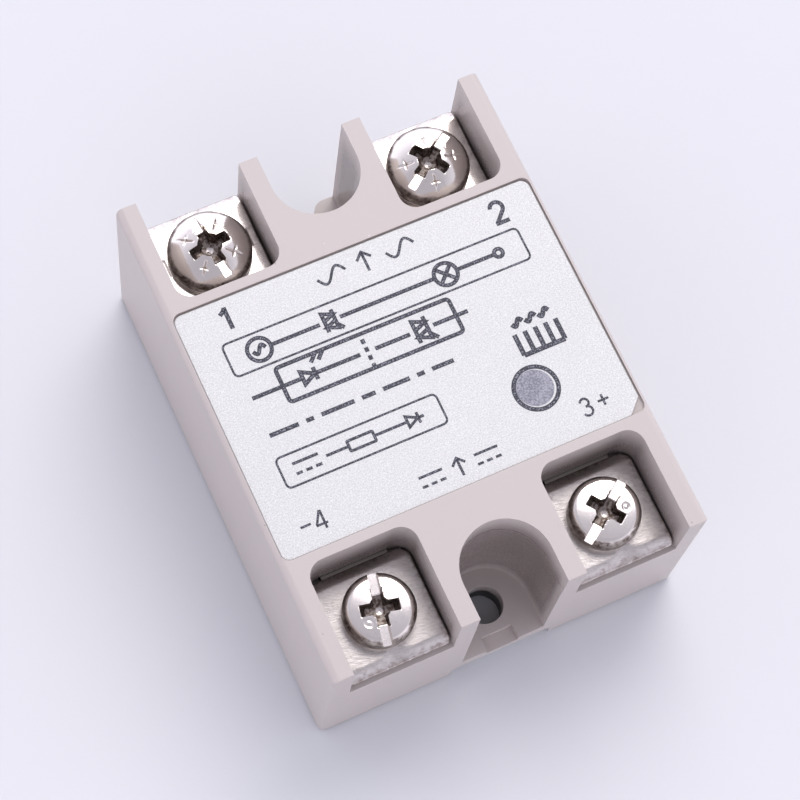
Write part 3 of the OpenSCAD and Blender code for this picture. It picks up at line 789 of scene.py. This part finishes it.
def rounded_square(t, half, corner_r):
    """Distance from the middle to a square with round corners, along angle t. On a side it is the half
    width over the larger of |cos t| and |sin t|; at a corner it is where the ray leaves the circle."""
    c, s = np.cos(t), np.sin(t)
    side = half / np.maximum(np.abs(c), np.abs(s))
    near = half - corner_r
    on_corner = side * np.minimum(np.abs(c), np.abs(s)) > near
    reach = near * (np.abs(c) + np.abs(s))
    root = np.sqrt(np.maximum(reach ** 2 - 2 * near ** 2 + corner_r ** 2, 0))
    return np.where(on_corner, reach + root, side)


def clamp_plate(node, outward, hole_r, settings, dent_x, press):
    """A clamp plate as one closed surface round its hole. Angle t runs round it; the other parameter goes
    up the hole, out over the top, down the rim and back under. The top is flat, falls smoothly to the
    lips along the outer and inner edges, and a dent reaches in from the middle of the outer lip. Also
    returns the larger of |x| and |y| over the half width."""
    low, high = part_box(node)
    middle_x, middle_y = middle_of(node)
    half = (high.x - low.x) / 2
    columns, rings, edge = 320, 44, 0.16 * MM
    t = np.linspace(0, 2 * math.pi, columns, endpoint=False)
    rim = rounded_square(t, half, np.where(np.sin(t) * outward > 0, 0.5 * MM, 1.5 * MM))
    hole = np.full(columns, hole_r)
    outline = [(hole, 0.0, 0.0), (hole, 0.5, 0.0), (hole, 0.9, 0.0)]  # radius, share of the height, sink
    outline += [(hole_r + (rim - edge - hole_r) * s, 1.0, 0.0) for s in np.linspace(0, 1, rings) ** 0.8]
    outline += [(rim - edge + edge * math.sin(a), 1.0, edge * (1 - math.cos(a)))
                for a in np.radians(np.linspace(0, 90, 6))[1:]]
    outline += [(rim, 0.2, 0.0), (rim - 0.05 * MM, 0.0, 0.0), (hole_r + (rim - hole_r) * 0.5, 0.0, 0.0)]
    radius, share, sink = (np.array(column) for column in zip(*outline))
    share, sink = share[:, None], sink[:, None]
    x, y = radius * np.cos(t), radius * np.sin(t)
    out = y * outward
    dent = settings.bulge * np.exp(-(((x - dent_x) / (1.1 * MM)) ** 2))
    lip_start = half - settings.fold - np.where(out > 0, dent, 0)
    lip = settings.drop * smooth_step(np.abs(y), lip_start, half + 0.25 * MM) * 1.15
    pressed = press * smooth_step(np.abs(x), 4.9 * MM, 5.1 * MM) * (
        1 - smooth_step(np.abs(out - 0.28 * MM), 1.0 * MM, 1.14 * MM))
    warp = 0.05 * MM * (np.cos(x / half * 1.3 + 0.4) * np.cos(y / half * 1.1 - 0.3) - 1)
    top = (high.z - low.z) - lip - pressed + warp
    clear = 0.01 * MM * (share == 0)  # the underside stays just clear of the bar
    points = np.stack([middle_x + x, middle_y + y, low.z + top * share - sink + clear], axis=-1)
    return (points.reshape(-1, 3), ring_faces(len(radius), columns, wrap=True),
            np.maximum(np.abs(x), np.abs(y)) / half)


def fan_angles(radii, marks, cells):
    """Angles for rings of points whose lines follow marked features. marks gives each ring's angles over a
    quarter turn and cells the columns between them, which are spread evenly. The quarter is mirrored and
    repeated."""
    knots = np.concatenate([[0], np.cumsum(cells)])
    columns = np.arange(knots[-1])
    hats = np.array([np.interp(columns, knots, row) for row in np.eye(len(knots))])
    quarter = marks(np.maximum(radii, 1.05 * MM)) @ hats
    mirrored = np.concatenate([np.full((len(quarter), 1), math.pi / 2), quarter[:, :0:-1]], axis=1)
    half_turn = np.concatenate([quarter, math.pi - mirrored], axis=1)
    return np.concatenate([half_turn, half_turn + math.pi], axis=1)


def head_outline(head_r, drive):
    """Radius and height of a head's outline from its middle: an arc over the crown, a smaller arc round
    the edge that runs on from it, and the side. Also returns how many of its points are on top, and where
    the two arcs join."""
    head_h, crown_r, edge_r = drive["head_h"], drive["crown_r"], drive["edge_r"]
    join_r = (head_r - edge_r) / (1 - edge_r / crown_r)
    join_a = math.asin(join_r / crown_r)
    side_z = head_h - crown_r * (1 - math.cos(join_a)) - edge_r * math.cos(join_a)
    crown = np.linspace(0.02 * MM, join_r, 74)
    bend = np.linspace(join_a, math.pi / 2, 10)[1:]
    side = np.array([0, 0, 0, 0.06, 0.18]) * MM
    radius = np.concatenate([crown, head_r - edge_r + edge_r * np.sin(bend), head_r - side])
    height = np.concatenate([head_h - crown_r + np.sqrt(crown_r ** 2 - crown ** 2),
                             side_z + edge_r * np.cos(bend), [side_z * 0.66, side_z * 0.33],
                             np.array([0.2, 0.08, 0.015]) * MM])
    return radius, height, len(crown) + len(bend), join_r


def shank_outline(shank_r, shank, pitch):
    """Radius and height of a shank's outline below the head: the neck, the thread with twelve rows a
    turn, and the tip. The first three points and the last three aren't thread."""
    thread = -np.arange(0.5 * MM, shank - 0.4 * MM, pitch / 12)
    radius = np.concatenate([shank_r + np.array([0.3, -0.1, -0.25]) * MM, np.full(len(thread), shank_r),
                             np.array([0.82, 0.6, 0.02]) * shank_r])
    height = np.concatenate([np.array([0.015, -0.105, -0.335]) * MM, thread,
                             [0.16 * MM - shank, -shank, -shank]])
    return radius, height


def drive_marks(radius, slot_w, wing_w):
    """The quarter-turn marks of a screw's rings: both edges of the slot's wall, the scribed line at 45
    degrees with its sides, and both edges of the cross arm's wall."""
    def away(half_width):
        return np.arcsin(half_width / radius)
    low_slot, top_slot = away(slot_w / 2 - 0.10 * MM), away(slot_w / 2 + 0.015 * MM)
    top_wing = math.pi / 2 - away(wing_w / 2 + 0.01 * MM)
    low_wing = math.pi / 2 - away(wing_w / 2 - 0.20 * MM)
    middle, scribe = np.full_like(radius, math.pi / 4), away(0.26 * MM)
    return np.stack([np.zeros_like(radius), low_slot, top_slot, np.maximum(middle - scribe, top_slot),
                     middle, np.minimum(middle + scribe, top_wing), top_wing, low_wing,
                     np.full_like(radius, math.pi / 2)], axis=1)


def slot_and_cross(u, v, radius, settings, drive):
    """Heights of the slot, and of the cross with its core. Each is the greatest of its floor and of its
    walls, which rise by the given slopes."""
    slot_wall, arm_wall, arm_end, core_wall, floor_rise = 12.0, 8.0, 2.0, 4.0, 0.3
    head_h = drive["head_h"]
    slot = np.maximum(head_h - settings.slot_depth,
                      head_h + (np.abs(v) - settings.slot_width / 2) * slot_wall)
    floor = head_h - drive["cross_d"] + floor_rise * radius
    arms = [np.maximum.reduce([floor, head_h + (np.abs(along) - drive["reach"]) * arm_end,
                               head_h + (np.abs(over) - settings.wing_width / 2) * arm_wall])
            for along, over in ((u, v), (v, u))]
    core = np.maximum(floor, head_h + (radius - drive["core"]) * core_wall)
    return slot, np.minimum.reduce([*arms, core])


def scribed(u, v):
    """Depth of the four marks between the arms of the cross. Along each diagonal, a is the distance from
    the middle and b the distance to the side: a line, a bar across it and a shallow hollow round both."""
    depth = 0
    for lean in (1, -1):
        a = np.abs(u + lean * v) * math.sqrt(0.5)
        b = np.abs(u - lean * v) * math.sqrt(0.5)
        stretch = smooth_step(a, 1.7 * MM, 2.1 * MM) * (1 - smooth_step(a, 2.9 * MM, 4.1 * MM))
        depth += 0.15 * MM * np.clip(1 - b / (0.17 * MM), 0, 1) * stretch
        bar = np.clip(1 - np.abs(a - 2.75 * MM - 0.25 * b) / (0.15 * MM), 0, 1)
        depth += 0.12 * MM * bar * (1 - smooth_step(b, 0.35 * MM, 0.75 * MM))
        depth += 0.045 * MM * np.exp(-(((a - 2.6 * MM) / (0.8 * MM)) ** 2 + (b / (0.7 * MM)) ** 2))
    return depth


def punched(u, v, place):
    """Depth of a small ring punched round a place given in millimetres."""
    ring = (np.hypot(u - place[0] * MM, v - place[1] * MM) - 0.33 * MM) / (0.11 * MM)
    return 0.09 * MM * np.exp(-(ring ** 2))


def screw_surface(node, settings, drive, turn, punch):
    """A terminal screw as one closed surface. Rings run from the middle of the head out over the crown,
    round the edge, down the side, under the head and down the thread to the tip. The head's height is the
    lowest of the marked crown, the slot and the cross. The thread's radius falls from crest to root as a
    triangle wave of the height over the pitch plus the angle over a full turn. Also returns the shade of
    each point: 1 deep in the cross, 0.3 in the slot, up to 0.8 on the side of the head and 0 elsewhere."""
    low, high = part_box(node)
    middle_x, middle_y = middle_of(node)
    head_r = (high.x - low.x) / 2
    pitch = drive["pitch"]
    seat = high.z - drive["head_h"]
    shank = seat - low.z
    r_head, z_head, top_rings, join_r = head_outline(head_r, drive)
    r_shank, z_shank = shank_outline(drive["shank_r"], shank, pitch)
    r_all, z_all = np.concatenate([r_head, r_shank]), np.concatenate([z_head, z_shank])
    ring = np.arange(len(r_all))
    on_top = (ring < top_rings)[:, None]
    is_thread = ((ring >= len(r_head) + 3) & (ring < len(r_all) - 3))[:, None]

    ring_r = np.where(ring < len(r_head), r_all, head_r)
    t = fan_angles(ring_r, lambda r: drive_marks(r, settings.slot_width, settings.wing_width),
                   (4, 2, 7, 3, 3, 7, 3, 3))
    radius = np.broadcast_to(r_all[:, None], t.shape)
    z = np.broadcast_to(z_all[:, None], t.shape)
    u, v = radius * np.cos(t), radius * np.sin(t)
    marks = punched(u, v, punch) * (radius < join_r + 0.1 * MM) if punch else scribed(u, v)
    crown = z - marks
    slot, cross = slot_and_cross(u, v, radius, settings, drive)
    z = np.where(on_top, np.minimum.reduce([crown, slot, cross]), z)

    in_slot = 0.3 * smooth_step(crown - slot, 0.0, 0.1 * MM)
    in_cross = smooth_step(np.minimum(crown, slot) - cross, 0.0, 0.15 * MM)
    recess = np.where(on_top, np.maximum(in_slot, in_cross), 0.0)
    recess *= 1 - 0.4 * (1 - smooth_step(radius, 0.25 * MM, 0.6 * MM))
    # painted dark reflection on the side of the head
    skirt = smooth_step(r_all, *(np.array(drive["skirt"]) * head_r))
    skirt = (skirt * smooth_step(z_all, 0.1 * MM, 0.3 * MM))[:, None]
    recess = np.maximum(recess, np.where(z > crown - 0.05 * MM, 0.8 * skirt, 0.0))

    phase = np.mod(z_all[:, None] / pitch + t / (2 * math.pi), 1.0)
    groove = np.clip(np.abs(2 * phase - 1) * 1.25 - 0.05, 0, 1) * 0.6 * pitch
    down = -z_all[:, None]
    full = smooth_step(down, 0.3 * MM, 1.2 * MM) * (
        1 - smooth_step(down, shank - 0.9 * MM, shank - 0.3 * MM))
    radius = np.where(is_thread, radius - groove * full - 0.25 * MM * (1 - full), radius)

    x = middle_x + radius * np.cos(t + turn)
    y = middle_y + radius * np.sin(t + turn)
    rows, columns = t.shape
    ends = [[middle_x, middle_y, seat + z[0].mean()], [middle_x, middle_y, seat - shank]]
    points = np.concatenate([np.stack([x, y, seat + z], axis=-1).reshape(-1, 3), ends])
    faces = (ring_faces(rows, columns, flip=True) + cap_faces(rows * columns, 0, columns)
             + cap_faces(rows * columns + 1, (rows - 1) * columns, columns, flip=True))
    return points, faces, np.concatenate([recess.ravel(), [1.0, 0.0]])


# Each kind of screw: the head's height and its two arcs, the shank and its thread's pitch, the depth and
# reach of the cross and the radius of its core, and where the painted dark reflection on the side of the
# head starts
DRIVES = {
    "output": {"head_h": 3.2 * MM, "crown_r": 8 * MM, "edge_r": 0.8 * MM, "shank_r": 2.45 * MM,
               "pitch": 0.8 * MM, "cross_d": 2.1 * MM, "reach": 2.6 * MM, "core": 1.4 * MM,
               "skirt": (0.82, 0.94)},
    "input": {"head_h": 2.5 * MM, "crown_r": 34 * MM, "edge_r": 0.9 * MM, "shank_r": 1.95 * MM,
              "pitch": 0.7 * MM, "cross_d": 1.75 * MM, "reach": 2.25 * MM, "core": 1.2 * MM,
              "skirt": (0.82, 0.93)},
}
SLOT_TURN = {1: -81, 2: 35, 3: 36, 4: 78}           # how far each slot stands from X, in degrees
PUNCHES = {3: (1.4, -1.75), 4: (-1.45, 1.55)}       # place of the punched ring on the input heads
DENT_X = {1: 0.0, 2: 0.3, 3: 0.5, 4: -0.2}          # place of each plate's dent along its lip


class RELAY_OT_clamps(bpy.types.Operator):
    """Build the four clamp plates with their curved lips"""

    bl_idname = "relay.clamps"
    bl_label = "Clamp plates"

    def execute(self, context):
        settings = context.scene.relay_terminals
        metals = {"output": plate_nickel("polished_plate", settings, 0.0),
                  "input": plate_nickel("etched_plate", settings, 1.0)}
        for n, kind in TERMINALS.items():
            node = f"{kind}_clamp_{n}"
            outward, press = (1, settings.press) if kind == "output" else (-1, 0)
            hole_r = DRIVES[kind]["shank_r"] + 0.1 * MM
            points, faces, rim = clamp_plate(node, outward, hole_r, settings, DENT_X[n] * MM, press)
            plate = add_piece(f"clamp_plate_{n}", points, faces, metals[kind], numbers={"rim": rim})
            hang(plate, f"clamp_{n}", node)
        return {"FINISHED"}


class RELAY_OT_screws(bpy.types.Operator):
    """Build the four terminal screws with slot and cross drive and real threads"""

    bl_idname = "relay.screws"
    bl_label = "Terminal screws"

    def execute(self, context):
        settings = context.scene.relay_terminals
        metal = bright_nickel(settings)
        for n, kind in TERMINALS.items():
            node = f"{kind}_screw_{n}"
            points, faces, recess = screw_surface(node, settings, DRIVES[kind], math.radians(SLOT_TURN[n]),
                                                  PUNCHES.get(n))
            screw = add_piece(f"terminal_screw_{n}", points, faces, metal, 55.0, {"recess": recess})
            hang(screw, f"screw_{n}", node)
        return {"FINISHED"}


class RELAY_OT_bars(bpy.types.Operator):
    """Build the four terminal bars under the clamp plates"""

    bl_idname = "relay.bars"
    bl_label = "Terminal bars"

    def execute(self, context):
        settings = context.scene.relay_terminals
        metal = brushed_metal("plated_brass", settings.bar, along=0, roughness=0.36)
        for n, kind in TERMINALS.items():
            node = f"{kind}_terminal_{n}"
            bar = cad_copy(node, f"terminal_bar_{n}", metal, settings.bar_edge)
            hang(bar, CASE_BODY, node)
        return {"FINISHED"}


# ---------- inside ----------

class InsideSettings(bpy.types.PropertyGroup):
    """Edge rounding and colours of what is inside the case."""

    edge: length("Edge rounding", "Radius on the edges of the inner parts", 0.06)
    copper: colour("Copper", "Colour of the bare copper straps", (0.80, 0.42, 0.26))
    tin: colour("Tin", "Colour of tinned leads", TIN)
    resin: colour("Black resin", "Colour of the moulded black parts", (0.022, 0.022, 0.026))


def inner_finishes(settings):
    """The finish of every node inside the case."""
    tin = brushed_metal("tinned_copper", settings.tin, along=2, roughness=0.30)
    copper = brushed_metal("bare_copper", settings.copper, along=0, roughness=0.30)
    resin = moulded("black_epoxy", settings.resin, 0.42, 0.15, fleck=(0.06, 0.06, 0.065))
    brown, black, red, gold = (0.12, 0.05, 0.02), (0.01, 0.01, 0.012), (0.45, 0.02, 0.02), (0.5, 0.33, 0.08)
    blue, grey, orange = (0.16, 0.36, 0.50), (0.34, 0.33, 0.29), (0.75, 0.22, 0.03)
    body, stripe = tuple(settings.resin), (0.6, 0.6, 0.6)
    found = {
        "ceramic_insulator": moulded("white_ceramic", (0.82, 0.82, 0.79), 0.4, 0.2),
        "triac_tab": tin, "triac_leads": tin, "optocoupler_legs": tin, "led_leads": tin,
        "snubber_jumpers": tin, "output_link_1": copper, "output_link_2": copper, "triac_body": resin,
        "potting_compound": moulded("potting", (0.035, 0.035, 0.04), 0.28, 1.4),
        "circuit_board": board_laminate(),
        "optocoupler_body": moulded("white_epoxy", (0.78, 0.78, 0.73), 0.45, 0.18),
        "indicator_led": lamp_resin(),
    }
    for node, coat, bands, share in (("input_resistor", blue, (brown, black, red, gold), 0.64),
                                     ("led_resistor", blue, (red, red, brown, gold), 0.64),
                                     ("gate_resistor", blue, (orange, orange, brown, gold), 0.64),
                                     ("bias_resistor", blue, (brown, black, orange, gold), 0.64),
                                     ("snubber_resistor", grey, (orange, black, black, gold), 0.70),
                                     ("protection_diode", body, (body, body, stripe), 0.60)):
        found[node] = banded(node + "_coat", node, coat, bands, share)
    for node, shade, legs in (("limiter_transistor_1", body, 4.6), ("limiter_transistor_2", body, 4.6),
                              ("snubber_capacitor", (0.74, 0.48, 0.05), 2.9)):
        found[node] = legged(node + "_case", node, shade, legs)
    return found


class RELAY_OT_inside(bpy.types.Operator):
    """Build the power stage and the control board inside the case"""

    bl_idname = "relay.inside"
    bl_label = "Inner parts"

    def execute(self, context):
        settings = context.scene.relay_inside
        for node, material in inner_finishes(settings).items():
            part = cad_copy(node, node + "_part", material, settings.edge)
            hang(part, CASE_BODY, node)
        return {"FINISHED"}


# ---------- stage ----------

class StageSettings(bpy.types.PropertyGroup):
    """Camera, light and floor."""

    distance: length("Distance", "From the camera to the middle of the relay", 269.4)
    azimuth: angle("Azimuth", "Camera's turn round the relay, 0 looking along Y", -37.31)
    elevation: angle("Elevation", "Camera's height above the horizon", 69.88)
    roll: angle("Roll", "Camera's tilt about its own line of sight", 13.08)
    lens: amount("Lens", "Focal length in millimetres", 106.9)
    floor: colour("Floor", "Colour of the paper floor", (0.63, 0.63, 0.635))
    light: colour("Light", "Colour of the light all round", (0.86, 0.86, 1.0))
    key_light: colour("Main light", "Colour of the main light", (1.0, 0.975, 0.98))
    fill: amount("Fill", "Strength of the even light from all round", 1.86)
    zenith_drop: amount("Overhead drop", "Share of the fill missing overhead", 0.48)
    block_spread: angle("Blocked spread", "Half angle of the dark patch behind the camera", 30)
    key_strength: amount("Glow", "Extra strength of the main light", 4.3)
    key_azimuth: angle("Glow azimuth", "Turn of the main light round the relay, as the camera's", 144)
    key_elevation: angle("Glow elevation", "Height of the main light above the horizon", 50)
    key_spread: angle("Glow spread", "Half angle of the main light", 20)


def way_to(azimuth, elevation):
    """The direction from the relay to something at an azimuth and an elevation."""
    flat = math.cos(elevation)
    return Vector((math.sin(azimuth) * flat, -math.cos(azimuth) * flat, math.sin(elevation)))


def studio_sky(settings):
    """Pale surroundings, dimmer overhead, with one broad soft glow where the main light stands and a
    dark patch behind the camera."""
    world = bpy.data.worlds.new("studio")
    bpy.context.scene.world = world
    world.use_nodes = True
    sky = Graph(world.node_tree)
    ray = sky.add("ShaderNodeTexCoord", out="Generated")
    up = sky.parts(ray)[2]

    def facing(azimuth, elevation, outer, inner):
        """0 beyond the outer angle from a direction and 1 within the inner one."""
        cosine = sky.add("ShaderNodeVectorMath", {"operation": "DOT_PRODUCT"},
                         {0: ray, 1: way_to(azimuth, elevation)}, out="Value")
        return sky.ease(cosine, math.cos(outer), math.cos(inner))

    spread, block = settings.key_spread, settings.block_spread
    main = facing(settings.key_azimuth, settings.key_elevation, spread * 1.3, spread * 0.65)
    blocked = facing(settings.azimuth, settings.elevation, block * 1.8, block * 0.2)
    level = (1 - sky.ease(up, 0.25, 0.85) * settings.zenith_drop) * settings.fill * (1 - blocked * 0.3)
    ground = sky.tree.nodes["Background"]
    plug(sky.tree, ground.inputs["Color"], sky.mix(main, settings.light, settings.key_light))
    plug(sky.tree, ground.inputs["Strength"], level + main * settings.key_strength)


class RELAY_OT_stage(bpy.types.Operator):
    """Lay the floor and set the lights and the camera"""

    bl_idname = "relay.stage"
    bl_label = "Stage"

    def execute(self, context):
        settings = context.scene.relay_stage
        half, lines, below = 1.5, 9, 0.02 * MM
        grid = np.linspace(-half, half, lines)
        x, y = np.meshgrid(grid, grid, indexing="ij")
        points = np.stack([x, y, np.full_like(x, CAD_BOX[0].z - below)], axis=-1)
        corner = (np.arange(lines - 1)[:, None] * lines + np.arange(lines - 1)).ravel()
        faces = np.stack([corner, corner + lines, corner + lines + 1, corner + 1], axis=-1).tolist()
        add_piece("paper_floor", points, faces, floor_paper(settings))

        middle = (CAD_BOX[0] + CAD_BOX[1]) / 2
        back = way_to(settings.azimuth, settings.elevation)
        camera = bpy.data.objects.new("camera", bpy.data.cameras.new("camera"))
        camera.data.lens = settings.lens
        camera.data.sensor_width = 36.0
        camera.data.clip_start = 0.01
        camera.location = middle + back * settings.distance
        look = (-back).to_track_quat("-Z", "Y").to_matrix()
        camera.rotation_euler = (look @ Matrix.Rotation(settings.roll, 3, "Z")).to_euler()
        context.scene.collection.objects.link(camera)
        context.scene.camera = camera

        studio_sky(settings)
        context.scene.view_settings.view_transform = "Standard"
        return {"FINISHED"}


# ---------- add-on ----------

OPERATORS = (RELAY_OT_case, RELAY_OT_label, RELAY_OT_clamps, RELAY_OT_screws, RELAY_OT_bars,
             RELAY_OT_inside, RELAY_OT_stage)
GROUPS = {"relay_case": CaseSettings, "relay_label": LabelSettings, "relay_terminals": TerminalSettings,
          "relay_inside": InsideSettings, "relay_stage": StageSettings}


class RELAY_PT_panel(bpy.types.Panel):
    """Sizes, colours and build buttons of the relay"""

    bl_idname = "RELAY_PT_panel"
    bl_label = "Solid state relay"
    bl_space_type = "VIEW_3D"
    bl_region_type = "UI"
    bl_category = "Relay"

    def draw(self, context):
        for group in GROUPS:
            box = self.layout.box()
            for name in GROUPS[group].__annotations__:
                box.prop(getattr(context.scene, group), name)
        for operator in OPERATORS:
            self.layout.operator(operator.bl_idname)


def register():
    """Registers the classes and gives the scene each group of settings."""
    for made in (*GROUPS.values(), *OPERATORS, RELAY_PT_panel):
        bpy.utils.register_class(made)
    for name, group in GROUPS.items():
        setattr(bpy.types.Scene, name, PointerProperty(type=group))


def unregister():
    """Undoes what register does."""
    for name in GROUPS:
        delattr(bpy.types.Scene, name)
    for made in (RELAY_PT_panel, *reversed(OPERATORS), *reversed(GROUPS.values())):
        bpy.utils.unregister_class(made)


def main():
    """Builds every piece and the stage."""
    register()
    for operator in OPERATORS:
        family, action = operator.bl_idname.split(".")
        getattr(getattr(bpy.ops, family), action)()
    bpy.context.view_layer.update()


if __name__ == "__main__":
    main()
